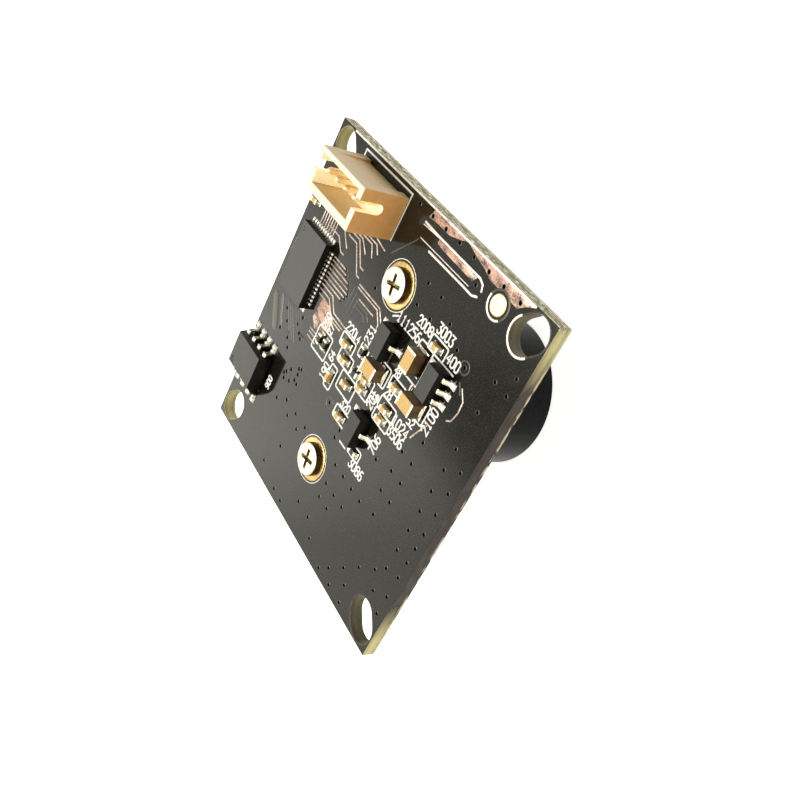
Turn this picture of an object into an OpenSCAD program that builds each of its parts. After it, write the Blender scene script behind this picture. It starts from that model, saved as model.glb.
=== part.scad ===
// Camera module: a square circuit board with chips and a header on one face,
// and a screwed lens holder with a threaded fixed-focus lens on the other.
// X runs along the header, +Z leaves the chip side, and the lens looks along -Z.
// The origin is the centre of the four mounting slots, on the board's lens side.

/* [Board] */
// Side of the square board
board_w = 32; // [31:0.5:40]
// Board thickness
board_t = 1.2; // [0.8:0.1:2]
// Distance between mounting slots along a side
mount_pitch = 28; // [27:0.5:28]
// Mounting slot width
mount_slot_w = 2.8; // [2.2:0.1:2.8]
// Mounting slot length, along the board's diagonal
mount_slot_l = 3.8; // [3:0.1:3.9]

/* [Lens holder] */
// Distance between the two holder screws
screw_pitch = 18; // [17.5:0.5:20]
// Side of the square holder base
holder_w = 14; // [13.5:0.5:15]
// Height of the base and its screw ears
holder_base_h = 5; // [4.5:0.5:6]
// Height of the whole holder, base and threaded tower
holder_h = 9.5; // [8.5:0.5:10]
// Outer diameter of the tower
tower_d = 13.6; // [13.2:0.1:15]

/* [Lens] */
// Distance from the board's lens side to the front rim of the lens
lens_reach = 15.8; // [15.6:0.1:17]
// Diameter of the lens head
head_d = 13.9; // [13.4:0.1:15]
// Length of the lens head
head_len = 5.2; // [5:0.1:5.4]
// Diameter of the lens thread
thread_d = 12; // [11.8:0.1:12.2]

/* [Header] */
// Number of contacts in the header
pin_count = 4; // [2:1:5]
// Distance between contacts
pin_pitch = 1.5; // [1.25:0.25:1.5]
// Header depth across the row
header_d = 3.8; // [3.6:0.1:4.2]
// Header height above the board
header_h = 4.4; // [4:0.1:5]
// Header's middle along X
header_x = -7.15; // [-7.5:0.05:0]
// Header's middle along Y
header_y = 13; // [12:0.1:13]

/* [Chips] */
// Controller package, along X
controller_w = 4.5; // [4.3:0.1:4.7]
// Controller package, along Y
controller_l = 6.5; // [6.3:0.1:6.7]
// Controller package height
controller_h = 0.85; // [0.75:0.05:1]
// Memory chip body length
memory_l = 4.9; // [4.8:0.05:5]
// Memory chip body width
memory_w = 3.9; // [3.8:0.05:4]
// Memory chip height above the board
memory_h = 1.5; // [1.4:0.05:1.75]
// Small transistor and regulator package length
small_chip_l = 2.9; // [2.8:0.05:3]
// Small transistor and regulator package width
small_chip_w = 1.6; // [1.5:0.05:1.7]
// Small transistor and regulator height above the board
small_chip_h = 1.15; // [1.05:0.05:1.25]

/* [Hidden] */
$fn = 64;
half = board_w / 2;
top = board_t;

// Each row is [x, y, turn about Z]
controller_at = [-12, 3.5, 0];
memory_at = [-13.45, -8.35, 0];
regulator_at = [8.8, 5.9, 0];
transistors_at = [[2.1, 5, 0], [3.7, -2.6, 0]];
bulk_capacitors_at = [[2.4, 2.45, 0], [5.95, 5.9, 90], [7.85, 3.2, 0]];
capacitors_at = [
    [-2.4, 1.6, 0],
    [-1.75, 0.4, 0],
    [-0.15, -1, 0],
    [1.7, 0.9, 0],
    [1.7, 0, 0],
    [-2.6, -1.95, 90],
    [0.85, -3.6, 0],
    [5.35, 0.7, 0],
    [5.35, -0.25, 0],
    [7.1, 8, 0],
    [5.25, 2.8, 0],
    [-14.7, 8.5, 0],
];
resistors_at = [[-0.2, 2.4, 90], [0.15, 0.4, 0], [-5.95, -0.35, 90], [-5, -0.35, 90], [4.3, -4.6, 0]];
crystal_at = [-11.2, -9, 90];
load_capacitors_at = [[-11.2, -6.3, 0], [-11.2, -11.7, 0]];

// Chip capacitor and resistor sizes: length, width, height, terminal length
bulk_size = [2, 1.25, 1.2, 0.42];
capacitor_size = [1, 0.5, 0.52, 0.24];
resistor_size = [1, 0.5, 0.35, 0.22];

// Gull-wing leads: thickness, width, reach from the body's side, flat of the foot,
// bend radius, lean of the leg
memory_lead = [0.2, 0.42, 1.05, 0.45, 0.14, 10];
small_lead = [0.14, 0.4, 0.8, 0.24, 0.1, 28];
memory_lead_pitch = 1.27;
memory_band_z = 0.75;
memory_bevel = 0.5;
small_lead_pitch = 0.95;

// Controller terminals
terminal_pitch = 0.4;
terminal_w = 0.2;
terminal_h = 0.2;
terminal_in = 0.35;
terminal_out = 0.03;
terminals_long = 14;
terminals_short = 11;

// Header walls and contacts
header_w = pin_count * pin_pitch + 1.5;
header_floor = 1.1;
wall_end = 0.65;
wall_thick = 0.7;
wall_thin = 0.45;
slot_w = 0.9;
slot_h = 2.45;
pin_w = 0.5;
pin_top = 4;
pin_tail = 1;
pin_hole_d = 0.9;
pin_y = header_y + 0.4;

// Holder screws
screw_head_d = 3;
screw_head_h = 0.62;
screw_d = 1.68;
screw_hole_d = 2;
screw_len = 5;
pilot_d = 1.7;
pilot_depth = 4.3;
ear_d = 4.8;

// Holder inside, measured down from the board
cavity_w = 10.6;
cavity_h = 3.4;
seat_h = 0.8;
aperture_d = 8.4;
filter_w = 9.6;
filter_t = 0.4;

// Lens barrel, measured back from its front rim
head_front = -lens_reach;
barrel_len = 11;
barrel_back = head_front + barrel_len;
thread_gap = 0.03;
wall_rim = 0.8;
glass_gap = 0.02;
rim_recess = 0.3;
ring_h = 1;
front_d = head_d - 2 * wall_rim - 0.6;
front_edge = 1.3;
second_d = 9.4;
second_edge = 1.1;
wide_spacer_h = 0.9;
third_d = 8.2;
third_edge = 1.4;
narrow_spacer_h = 0.9;
rear_d = 7.2;
rear_edge = 1.2;

// Places of the lens parts along Z, from the rim to the board
ring_z = head_front + rim_recess;
front_z = ring_z + ring_h;
second_z = front_z + front_edge;
wide_spacer_z = second_z + second_edge;
third_z = wide_spacer_z + wide_spacer_h;
narrow_spacer_z = third_z + third_edge;
rear_z = narrow_spacer_z + narrow_spacer_h;

// Image sensor
sensor_w = 7.6;
sensor_h = 0.95;
sensor_wall = 0.7;
sensor_floor = 0.35;
sensor_glass_t = 0.4;
die_w = 5;
die_t = 0.2;

CAPACITORS = [for (i = [1 : len(capacitors_at)]) str("capacitor_", i)];
BULK_CAPACITORS = [for (i = [1 : len(bulk_capacitors_at)]) str("bulk_capacitor_", i)];
RESISTORS = [for (i = [1 : len(resistors_at)]) str("resistor_", i)];
LOAD_CAPACITORS = [for (i = [1 : len(load_capacitors_at)]) str("load_capacitor_", i)];

// ---- Shared shapes ----

// Puts its children at [x, y, turn] on the chip side
module on_top(at) {
    translate([at[0], at[1], top]) rotate([0, 0, at[2]]) children();
}

// Puts its children at [x, y, turn] on the lens side, upside down
module underneath(at) {
    translate([at[0], at[1], 0]) rotate([180, 0, at[2]]) children();
}

// Copies its children to the four corners, each with +X pointing away from the board's middle
module at_corners() {
    for (turn = [45 : 90 : 315]) rotate([0, 0, turn]) translate([mount_pitch / sqrt(2), 0, 0]) children();
}

// Copies its children to the two holder screws
module at_screws() {
    for (y = [-1, 1]) translate([0, y * screw_pitch / 2, 0]) children();
}

// A rectangle with round corners, centred
module round_rect(w, l, r) {
    square([w - 2 * r, l], center = true);
    square([w, l - 2 * r], center = true);
    for (x = [-1, 1], y = [-1, 1]) translate([x * (w / 2 - r), y * (l / 2 - r)]) circle(r);
}

// A box with round upright corners, standing on z = 0
module round_box(w, l, h, r) {
    linear_extrude(h) round_rect(w, l, r);
}

// A box whose twelve edges are all eased, standing on z = 0
module eased_box(w, l, h, r) {
    intersection() {
        linear_extrude(h) round_rect(w, l, r);
        translate([-w, 0, h / 2]) rotate([90, 0, 90]) linear_extrude(2 * w) round_rect(l, h, r);
        translate([0, l, h / 2]) rotate([90, 0, 0]) linear_extrude(2 * l) round_rect(w, h, r);
    }
}

// Points on an arc about c, from angle a to angle b
function arc(c, r, a, b, n = 5) =
    [for (i = [0 : n]) let (t = a + (b - a) * i / n) [c[0] + r * cos(t), c[1] + r * sin(t)]];

// Side outline of a gull-wing lead: it leaves a body at [0, out_z], bends down with
// its leg leaning outwards, bends again and ends in a flat foot on z = 0
function gull(t, out_z, reach, foot, bend, lean) =
    let (
        drop = ((2 * bend + t) * sin(lean) - 2 * bend - 1.5 * t + out_z) / cos(lean),
        ankle = [reach - foot, bend + t],
        knee = [ankle[0] - (2 * bend + t) * cos(lean) - drop * sin(lean), out_z - t / 2 - bend]
    )
    concat(
        [[0, out_z - t / 2]],
        arc(knee, bend, 90, lean),
        arc(ankle, bend + t, 180 + lean, 270),
        [[reach, 0], [reach, t]],
        arc(ankle, bend, 270, 180 + lean),
        arc(knee, bend + t, lean, 90),
        [[0, out_z + t / 2]]
    );

// One gull-wing lead, its root on the plane x = 0
module gull_lead(lead, out_z) {
    rotate([90, 0, 0]) translate([0, 0, -lead[1] / 2]) linear_extrude(lead[1])
        polygon(gull(lead[0], out_z, lead[2], lead[3], lead[4], lead[5]));
}

// A moulded chip body with drafted sides and a plain band where the leads leave
module moulded_body(w, l, low, high, band_z, band_h, draft) {
    intersection() {
        rotate([90, 0, 0]) translate([0, 0, -l]) linear_extrude(2 * l)
            drafted(w, low, high, band_z, band_h, draft);
        rotate([90, 0, 90]) translate([0, 0, -w]) linear_extrude(2 * w)
            drafted(l, low, high, band_z, band_h, draft);
    }
}

module drafted(w, low, high, band_z, band_h, draft) {
    up = (high - band_z - band_h / 2) * tan(draft);
    down = (band_z - band_h / 2 - low) * tan(draft);
    polygon([
        [-w / 2, band_z - band_h / 2], [-w / 2 + down, low], [w / 2 - down, low], [w / 2, band_z - band_h / 2],
        [w / 2, band_z + band_h / 2], [w / 2 - up, high], [-w / 2 + up, high], [-w / 2, band_z + band_h / 2],
    ]);
}

// A two-terminal chip part: a block between two slightly proud end caps
module chip_part(size, proud) {
    round_box(size[0] - 0.1, size[1] - 2 * proud, size[2] - proud, 0.02);
    for (s = [-1, 1]) translate([s * (size[0] - size[3]) / 2, 0, 0])
        eased_box(size[3], size[1], size[2], size[3] / 5);
}

// ---- Board and header ----

module circuit_board() {
    color("#1c1f1d") difference() {
        translate([-half, -half, 0]) cube([board_w, board_w, board_t]);
        translate([0, 0, -1]) {
            at_corners() mounting_slot(board_t + 2);
            at_screws() cylinder(d = screw_hole_d, h = board_t + 2);
            at_pins() cylinder(d = pin_hole_d, h = board_t + 2);
        }
    }
}

// A slot with round ends, running along X
module mounting_slot(h) {
    run = mount_slot_l - mount_slot_w;
    for (s = [-1, 1]) translate([s * run / 2, 0, 0]) cylinder(d = mount_slot_w, h = h);
    translate([-run / 2, -mount_slot_w / 2, 0]) cube([run, mount_slot_w, h]);
}

// Copies its children to the header's contacts
module at_pins() {
    for (i = [0 : pin_count - 1]) {
        translate([header_x + (i - (pin_count - 1) / 2) * pin_pitch, pin_y, 0]) children();
    }
}

// Upright header: thick wall towards the board's middle, thin wall by the edge,
// open top, and a keyway down each end wall
module header_housing() {
    relief = 0.25;
    relief_in = 1;
    color("#e6d3a6") difference() {
        translate([header_x, header_y, top]) difference() {
            translate([-header_w / 2, -header_d / 2, 0]) cube([header_w, header_d, header_h]);
            // Room for the plug
            translate([-header_w / 2 + wall_end, -header_d / 2 + wall_thick, header_floor])
                cube([header_w - 2 * wall_end, header_d - wall_thick - wall_thin, header_h]);
            // Keyways with round bottoms
            translate([-header_w, pin_y - header_y, header_h - slot_h + slot_w / 2]) rotate([90, 0, 90]) {
                cylinder(d = slot_w, h = 2 * header_w);
                translate([-slot_w / 2, 0, 0]) cube([slot_w, header_h, 2 * header_w]);
            }
            // Wedge relief on the outer wall, deepest at the board
            translate([-header_w / 2 + relief_in, header_d / 2, 0]) rotate([90, 0, 90])
                linear_extrude(header_w - 2 * relief_in)
                polygon([[-relief, -1], [-relief, 0], [0, header_h - 1], [1, header_h - 1], [1, -1]]);
        }
        translate([0, 0, top - 1]) at_pins() cube([pin_w + 0.02, pin_w + 0.02, 8], center = true);
    }
}

// Square contacts with tapered tips
module header_contacts() {
    tip = 0.35;
    color("#d9c68c") at_pins() {
        translate([-pin_w / 2, -pin_w / 2, -pin_tail + tip])
            cube([pin_w, pin_w, pin_tail + top + pin_top - 2 * tip]);
        translate([0, 0, top + pin_top]) mirror([0, 0, 1]) pin_tip(tip);
        translate([0, 0, -pin_tail]) pin_tip(tip);
    }
}

// Four-sided tip that widens upwards to the contact's section
module pin_tip(h) {
    nose = 0.13;
    intersection() {
        rotate([90, 0, 0]) translate([0, 0, -1]) linear_extrude(2) tip_outline(nose, h);
        rotate([90, 0, 90]) translate([0, 0, -1]) linear_extrude(2) tip_outline(nose, h);
    }
}

module tip_outline(nose, h) {
    polygon([[-nose, 0], [nose, 0], [pin_w / 2, h], [-pin_w / 2, h]]);
}

// ---- Chips ----

// Copies its children to every terminal, each with +X pointing out of the package
module at_terminals() {
    for (side = [0 : 3]) {
        long = side % 2 == 0;
        count = long ? terminals_long : terminals_short;
        out = long ? controller_w / 2 : controller_l / 2;
        rotate([0, 0, side * 90]) for (i = [0 : count - 1]) {
            translate([out, (i - (count - 1) / 2) * terminal_pitch, 0]) children();
        }
    }
}

module terminal() {
    translate([-terminal_in, -terminal_w / 2, 0]) cube([terminal_in + terminal_out, terminal_w, terminal_h]);
}

module controller_body() {
    color("#5a5855") on_top(controller_at) difference() {
        translate([-controller_w / 2, -controller_l / 2, 0]) cube([controller_w, controller_l, controller_h]);
        at_terminals() terminal();
        translate([-controller_w / 2 + 0.6, controller_l / 2 - 0.6, controller_h - 0.04])
            cylinder(d = 0.45, h = 1);
    }
}

module controller_terminals() {
    color("#e4e4da") on_top(controller_at) at_terminals() terminal();
}

module memory_body() {
    color("#4d4d4a") on_top(memory_at) difference() {
        moulded_body(memory_l, memory_w, 0.1, memory_h, memory_band_z, memory_lead[0], 10);
        // Bevel along the pin-one edge, and the pin-one dimple
        translate([0, -memory_w / 2, memory_h]) rotate([45, 0, 0])
            cube([memory_l + 1, memory_bevel * sqrt(2), memory_bevel * sqrt(2)], center = true);
        translate([-memory_l / 2 + 0.8, -memory_w / 2 + 1, memory_h - 0.06]) cylinder(d = 0.6, h = 1);
    }
}

module memory_leads() {
    color("#e4e4da") on_top(memory_at) for (side = [-1, 1], i = [0 : 3]) {
        translate([(i - 1.5) * memory_lead_pitch, side * memory_w / 2, 0]) rotate([0, 0, side * 90])
            gull_lead(memory_lead, memory_band_z);
    }
}

module small_body() {
    moulded_body(small_chip_w, small_chip_l, 0.05, small_chip_h, small_chip_h / 2, small_lead[0], 6);
}

// Leads at the given rows, counted in pitches from the middle, on the side s
module small_leads(s, rows) {
    for (r = rows) {
        translate([s * small_chip_w / 2, r * small_lead_pitch, 0]) rotate([0, 0, s > 0 ? 0 : 180])
            gull_lead(small_lead, small_chip_h / 2);
    }
}

module regulator_body() {
    color("#4d4d4a") on_top(regulator_at) small_body();
}

module regulator_leads() {
    color("#e4e4da") on_top(regulator_at) {
        small_leads(1, [-1, 0, 1]);
        small_leads(-1, [-1, 1]);
    }
}

module transistor_body(i) {
    color("#4d4d4a") on_top(transistors_at[i]) small_body();
}

module transistor_leads(i) {
    color("#e4e4da") on_top(transistors_at[i]) {
        small_leads(1, [0]);
        small_leads(-1, [-1, 1]);
    }
}

module bulk_capacitor(i) {
    color("#c79a5c") on_top(bulk_capacitors_at[i]) chip_part(bulk_size, 0.03);
}

module capacitor(i) {
    color("#c79a5c") on_top(capacitors_at[i]) chip_part(capacitor_size, 0.02);
}

module resistor(i) {
    color("#2b2a28") on_top(resistors_at[i]) chip_part(resistor_size, 0.02);
}

module load_capacitor(i) {
    color("#c79a5c") underneath(load_capacitors_at[i]) chip_part(capacitor_size, 0.02);
}

// Metal-lidded crystal on the lens side
module crystal() {
    color("#c9c9c4") underneath(crystal_at) {
        round_box(3.2, 2.5, 0.45, 0.15);
        round_box(2.9, 2.2, 0.7, 0.3);
    }
}

// ---- Lens holder and its screws ----

// Flat round head with a cross recess, its shank pointing down from z = 0
module screw() {
    difference() {
        union() {
            rotate_extrude() polygon(concat(
                [[0, 0], [screw_head_d / 2, 0]],
                arc([screw_head_d / 2 - 0.15, screw_head_h - 0.15], 0.15, 0, 90),
                [[0, screw_head_h]]
            ));
            translate([0, 0, -screw_len + 0.6]) cylinder(d = screw_d, h = screw_len - 0.6);
            translate([0, 0, -screw_len]) cylinder(d1 = 0.5, d2 = screw_d, h = 0.6);
        }
        // Cross recess, its wings closing towards the bottom
        translate([0, 0, screw_head_h - 0.5]) intersection() {
            cylinder(d1 = 0.9, d2 = 1.9, h = 0.51);
            for (a = [0, 90]) rotate([0, 0, a + 12]) translate([-1, -0.18, 0]) cube([2, 0.36, 1]);
        }
    }
}

module holder_screws() {
    color("#d8d6d0") at_screws() translate([0, 0, top]) screw();
}

module lens_holder() {
    color("#161616") difference() {
        mirror([0, 0, 1]) {
            round_box(holder_w, holder_w, holder_base_h, 1.2);
            linear_extrude(holder_base_h) {
                square([ear_d, screw_pitch], center = true);
                at_screws() circle(d = ear_d);
            }
            cylinder(d = tower_d, h = holder_h);
        }
        // Room for the sensor, open to the board
        translate([-cavity_w / 2, -cavity_w / 2, -cavity_h]) cube([cavity_w, cavity_w, cavity_h + 1]);
        translate([0, 0, -holder_h - 1]) cylinder(d = aperture_d, h = holder_h);
        translate([0, 0, -holder_h - 1]) cylinder(d = thread_d, h = holder_h + 1 - cavity_h - seat_h);
        // Lead-in to the thread
        translate([0, 0, -holder_h - 0.01]) cylinder(d1 = thread_d + 0.6, d2 = thread_d, h = 0.3);
        at_screws() translate([0, 0, -pilot_depth]) cylinder(d = pilot_d, h = pilot_depth + 1);
    }
}

// ---- Sensor and filter ----

module infrared_filter() {
    color("#7fb7c9", 0.6) translate([-filter_w / 2, -filter_w / 2, -cavity_h])
        cube([filter_w, filter_w, filter_t]);
}

module sensor_package() {
    color("#2a2a2c") mirror([0, 0, 1]) difference() {
        translate([-sensor_w / 2, -sensor_w / 2, 0]) cube([sensor_w, sensor_w, sensor_h]);
        translate([-sensor_w / 2 + sensor_wall, -sensor_w / 2 + sensor_wall, sensor_floor])
            cube([sensor_w - 2 * sensor_wall, sensor_w - 2 * sensor_wall, sensor_h]);
    }
}

module sensor_die() {
    color("#3d5a4c") mirror([0, 0, 1]) translate([-die_w / 2, -die_w / 2, sensor_floor]) cube([die_w, die_w, die_t]);
}

module sensor_glass() {
    w = sensor_w - 0.4;
    color("#cfe0e0", 0.4) mirror([0, 0, 1]) translate([-w / 2, -w / 2, sensor_h]) cube([w, w, sensor_glass_t]);
}

// ---- Lens ----

// Barrel: plain head, relieved neck and thread outside, and inside a round pocket
// for each element, each one narrower than the last
module lens_barrel() {
    color("#141414") difference() {
        translate([0, 0, head_front]) rotate_extrude($fn = 96) polygon([
            [0, 0], [head_d / 2 - 0.2, 0], [head_d / 2, 0.2], [head_d / 2, head_len - 0.25],
            [head_d / 2 - 0.25, head_len], [thread_d / 2 - 0.4, head_len], [thread_d / 2 - 0.4, head_len + 0.5],
            [thread_d / 2 - thread_gap, head_len + 0.8], [thread_d / 2 - thread_gap, barrel_len - 0.3],
            [thread_d / 2 - 0.3, barrel_len], [0, barrel_len],
        ]);
        pocket(head_front - 1, second_z, front_d + glass_gap);
        pocket(front_z, third_z, second_d + glass_gap);
        pocket(front_z, narrow_spacer_z, third_d + glass_gap);
        pocket(front_z, rear_z + rear_edge, rear_d + glass_gap);
        pocket(front_z, barrel_back + 1, rear_d - 1);
        // Funnel at the rim
        translate([0, 0, head_front - 0.01]) cylinder(d1 = front_d + 0.7, d2 = front_d, h = rim_recess, $fn = 96);
    }
}

// A round pocket of diameter d between two heights
module pocket(from, to, d) {
    translate([0, 0, from]) cylinder(d = d, h = to - from, $fn = 96);
}

// Threaded ring with two spanner slots that holds the front lens
module lens_retaining_ring() {
    color("#1b1b1b") translate([0, 0, ring_z]) difference() {
        cylinder(d = front_d, h = ring_h, $fn = 96);
        translate([0, 0, -1]) cylinder(d = front_d - 2, h = ring_h + 2, $fn = 96);
        translate([0, 0, -0.01]) cylinder(d1 = front_d - 0.8, d2 = front_d - 2, h = 0.6, $fn = 96);
        translate([0, 0, 0.2]) cube([front_d + 1, 0.8, 0.8], center = true);
    }
}

// A lens element of diameter d with a flat seat outside the clear diameter. Each face has
// a sagitta, positive when it bulges outwards; the front face is the one towards -Z.
module element(d, clear_d, edge, front_sag, back_sag) {
    rotate_extrude($fn = 96) polygon(concat(
        face(clear_d / 2, front_sag, 0, -1),
        [[d / 2, 0], [d / 2, edge]],
        reversed(face(clear_d / 2, back_sag, edge, 1))
    ));
}

// Profile points of one face from its axis out to its clear radius
function face(r, sag, z, way) = [for (i = [0 : 8]) let (u = i / 8) [r * u, z + way * sag * (1 - u * u)]];

function reversed(list) = [for (i = [len(list) - 1 : -1 : 0]) list[i]];

// A ring between two elements, its hole closing towards the board
module spacer(d, h, d_front, d_back) {
    difference() {
        cylinder(d = d, h = h, $fn = 96);
        translate([0, 0, -0.01]) cylinder(d1 = d_front, d2 = d_back, h = h + 0.02, $fn = 96);
    }
}

module front_lens() {
    color("#8fa6b8", 0.5) translate([0, 0, front_z]) element(front_d, front_d - 2.2, front_edge, 0.8, -0.3);
}

module second_lens() {
    color("#8fa6b8", 0.5) translate([0, 0, second_z]) element(second_d, second_d - 1.6, second_edge, -0.25, -0.2);
}

module wide_spacer() {
    color("#1b1b1b") translate([0, 0, wide_spacer_z]) spacer(second_d, wide_spacer_h, second_d - 1, 5);
}

module third_lens() {
    color("#8fa6b8", 0.5) translate([0, 0, third_z]) element(third_d, third_d - 2, third_edge, -0.3, 0.35);
}

module narrow_spacer() {
    color("#1b1b1b") translate([0, 0, narrow_spacer_z]) spacer(rear_d, narrow_spacer_h, rear_d - 0.6, rear_d - 1);
}

module rear_lens() {
    color("#8fa6b8", 0.5) translate([0, 0, rear_z]) element(rear_d, rear_d - 1.4, rear_edge, 0.4, 0);
}

circuit_board();
header_housing();
header_contacts();
controller_body();
controller_terminals();
memory_body();
memory_leads();
regulator_body();
regulator_leads();
transistor_body(0);  // transistor_body_1
transistor_leads(0);  // transistor_leads_1
transistor_body(1);  // transistor_body_2
transistor_leads(1);  // transistor_leads_2
for (i = [0 : len(BULK_CAPACITORS) - 1]) bulk_capacitor(i);
for (i = [0 : len(CAPACITORS) - 1]) capacitor(i);
for (i = [0 : len(RESISTORS) - 1]) resistor(i);
holder_screws();
lens_holder();
infrared_filter();
sensor_package();
sensor_die();
sensor_glass();
lens_barrel();
lens_retaining_ring();
front_lens();
second_lens();
wide_spacer();
third_lens();
narrow_spacer();
rear_lens();
crystal();
for (i = [0 : len(LOAD_CAPACITORS) - 1]) load_capacitor(i);
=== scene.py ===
import math
import random

import bmesh
import bpy
from mathutils import Matrix, Quaternion, Vector


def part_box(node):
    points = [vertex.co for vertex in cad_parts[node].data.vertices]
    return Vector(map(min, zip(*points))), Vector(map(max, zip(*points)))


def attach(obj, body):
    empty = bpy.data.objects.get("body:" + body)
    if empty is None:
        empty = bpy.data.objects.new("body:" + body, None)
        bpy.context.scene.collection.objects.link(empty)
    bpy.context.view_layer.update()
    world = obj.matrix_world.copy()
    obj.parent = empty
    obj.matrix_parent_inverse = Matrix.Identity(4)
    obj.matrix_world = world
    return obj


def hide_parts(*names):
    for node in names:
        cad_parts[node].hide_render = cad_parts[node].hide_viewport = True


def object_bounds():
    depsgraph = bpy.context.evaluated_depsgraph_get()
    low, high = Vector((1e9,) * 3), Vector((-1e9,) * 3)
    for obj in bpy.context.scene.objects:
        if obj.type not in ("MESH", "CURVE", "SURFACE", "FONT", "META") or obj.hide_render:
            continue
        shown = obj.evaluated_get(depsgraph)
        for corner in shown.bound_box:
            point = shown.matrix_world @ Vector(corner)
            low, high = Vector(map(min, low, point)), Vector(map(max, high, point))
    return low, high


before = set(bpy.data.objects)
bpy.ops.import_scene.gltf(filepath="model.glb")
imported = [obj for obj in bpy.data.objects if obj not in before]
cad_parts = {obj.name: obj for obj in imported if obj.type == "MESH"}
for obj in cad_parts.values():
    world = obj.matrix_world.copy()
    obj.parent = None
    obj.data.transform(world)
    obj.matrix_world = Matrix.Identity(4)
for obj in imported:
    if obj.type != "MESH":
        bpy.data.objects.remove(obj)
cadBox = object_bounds()
random.seed(7)

mm = 0.001
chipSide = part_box("circuit_board")[1].z / mm      # the board's two faces, in millimetres
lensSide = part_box("circuit_board")[0].z / mm
benchTop = cadBox[0].z / mm                       # what the lens rim stands on
print("frame loaded")


# colours are written as hex, the way a picker shows them
def colour(text):
    parts = [int(text[i:i + 2], 16) / 255 for i in (0, 2, 4)]
    return tuple(p / 12.92 if p < 0.04045 else ((p + 0.055) / 1.055) ** 2.4 for p in parts) + (1,)


# one socket of a shader, so that maths on it reads as plain Python
class Value:
    def __init__(self, finish, socket):
        self.finish = finish
        self.socket = socket

    def maths(self, operation, first, second):
        return self.finish.add("Math", {"operation": operation}, {0: first, 1: second})

    def __add__(self, other):
        return self.maths("ADD", self, other)

    def __radd__(self, other):
        return self.maths("ADD", other, self)

    def __sub__(self, other):
        return self.maths("SUBTRACT", self, other)

    def __rsub__(self, other):
        return self.maths("SUBTRACT", other, self)

    def __mul__(self, other):
        return self.maths("MULTIPLY", self, other)

    def __rmul__(self, other):
        return self.maths("MULTIPLY", other, self)


# a node tree that ends in one surface
class Finish:
    def __init__(self, owner):
        owner.use_nodes = True
        self.owner = owner
        self.tree = owner.node_tree
        self.tree.nodes.clear()

    # any node: its type, its settings, then the values or links of its sockets
    def add(self, kind, settings=None, inputs=None, out=0):
        node = self.tree.nodes.new("ShaderNode" + kind)
        for key, value in (settings or {}).items():
            setattr(node, key, value)
        for key, value in (inputs or {}).items():
            if isinstance(value, Value):
                self.tree.links.new(value.socket, node.inputs[key])
            else:
                node.inputs[key].default_value = colour(value) if isinstance(value, str) else value
        return Value(self, node.outputs[out]) if node.outputs else None

    def mix(self, factor, first, second):
        return self.add("Mix", {"data_type": "RGBA"}, {0: factor, 6: first, 7: second}, out=2)

    # a number brought from one span to another, and kept inside it
    def span(self, value, low, high, newLow=0, newHigh=1):
        return self.add("MapRange", None, {0: value, 1: low, 2: high, 3: newLow, 4: newHigh})

    # noise whose grain is given in millimetres
    def noise(self, grain, detail=2, stretch=(1, 1, 1)):
        place = self.add("TexCoord", out="Object")
        place = self.add("VectorMath", {"operation": "MULTIPLY"}, {0: place, 1: stretch})
        return self.add("TexNoise", None, {"Vector": place, "Scale": 1 / (grain * mm), "Detail": detail})

    # how far along one of the object's axes, in millimetres
    def axis(self, letter):
        place = self.add("TexCoord", out="Object")
        return self.add("SeparateXYZ", None, {0: place}, out=letter) * (1 / mm)

    # 1 for a kind of ray, and 0 for the others
    def ray(self, kind):
        return self.add("LightPath", out=f"Is {kind} Ray")

    # a roughness that wanders round its middle value
    def sheen(self, grain, gloss, least=0.8, most=1.3):
        return self.span(grain, 0.3, 0.7, gloss * least, gloss * most)

    def bump(self, height, depth, strength=1):
        return self.add("Bump", None, {"Height": height, "Distance": depth * mm, "Strength": strength})

    def surface(self, base, rough, skin=None, more=None):
        sockets = {"Base Color": base, "Roughness": rough, **(more or {})}
        if skin:
            sockets["Normal"] = skin
        shader = self.add("BsdfPrincipled", None, sockets)
        self.add("OutputMaterial", None, {"Surface": shader})
        return self.owner


def newFinish(name):
    return Finish(bpy.data.materials.new(name))


maskLook = {"shade": "0d0d0a", "speck": "535044", "gloss": 0.1, "ior": 1.5, "waves": 0.0004, "grain": 0.08,
            "cloud": 1.6}
trackLook = {"shade": "8f7a6c", "shine": "e8d6ca", "gloss": 0.3, "metal": 0.45, "ior": 1.6, "waves": 0.0006}
shineLook = {"shade": "e9d3c6", "shine": "fffaf4", "gloss": 0.3, "metal": 0.25, "ior": 1.6, "waves": 0.0006}
faintLook = {"shade": "35312a", "speck": "5a5348", "gloss": 0.16, "ior": 1.6, "waves": 0.0006}
pourLook = {"shade": "33261d", "copper": "d3a893", "gloss": 0.25, "metal": 0.4, "ior": 1.5, "waves": 0.0009}
laminateLook = {"shade": "bdb480", "pale": "e2dbaa", "dark": "2e241b", "resin": "454128", "glint": "fffef6",
                "dash": "d8cfb4", "layers": 1.2, "khaki": 15.6, "burnt": 11.5, "headerEdge": (15.5, 15.9),
                "farEdge": (15.6, 15.9), "gloss": (0.5, 0.7), "ior": 1.4, "waves": 0.004}


# solder mask over the bare board: near black, glossy, with a faint orange peel and fine specks
def makeMask():
    look = maskLook
    f = newFinish("solderMask")
    speck = f.noise(look["grain"], 1)
    cloud = f.noise(look["cloud"], 3)
    base = f.mix(f.span(speck, 0.58, 0.78), look["shade"], look["speck"])
    skin = f.bump(cloud + speck * 0.25, look["waves"])
    return f.surface(base, f.sheen(cloud, look["gloss"], 0.85, 1.2), skin, {"IOR": look["ior"]})


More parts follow.
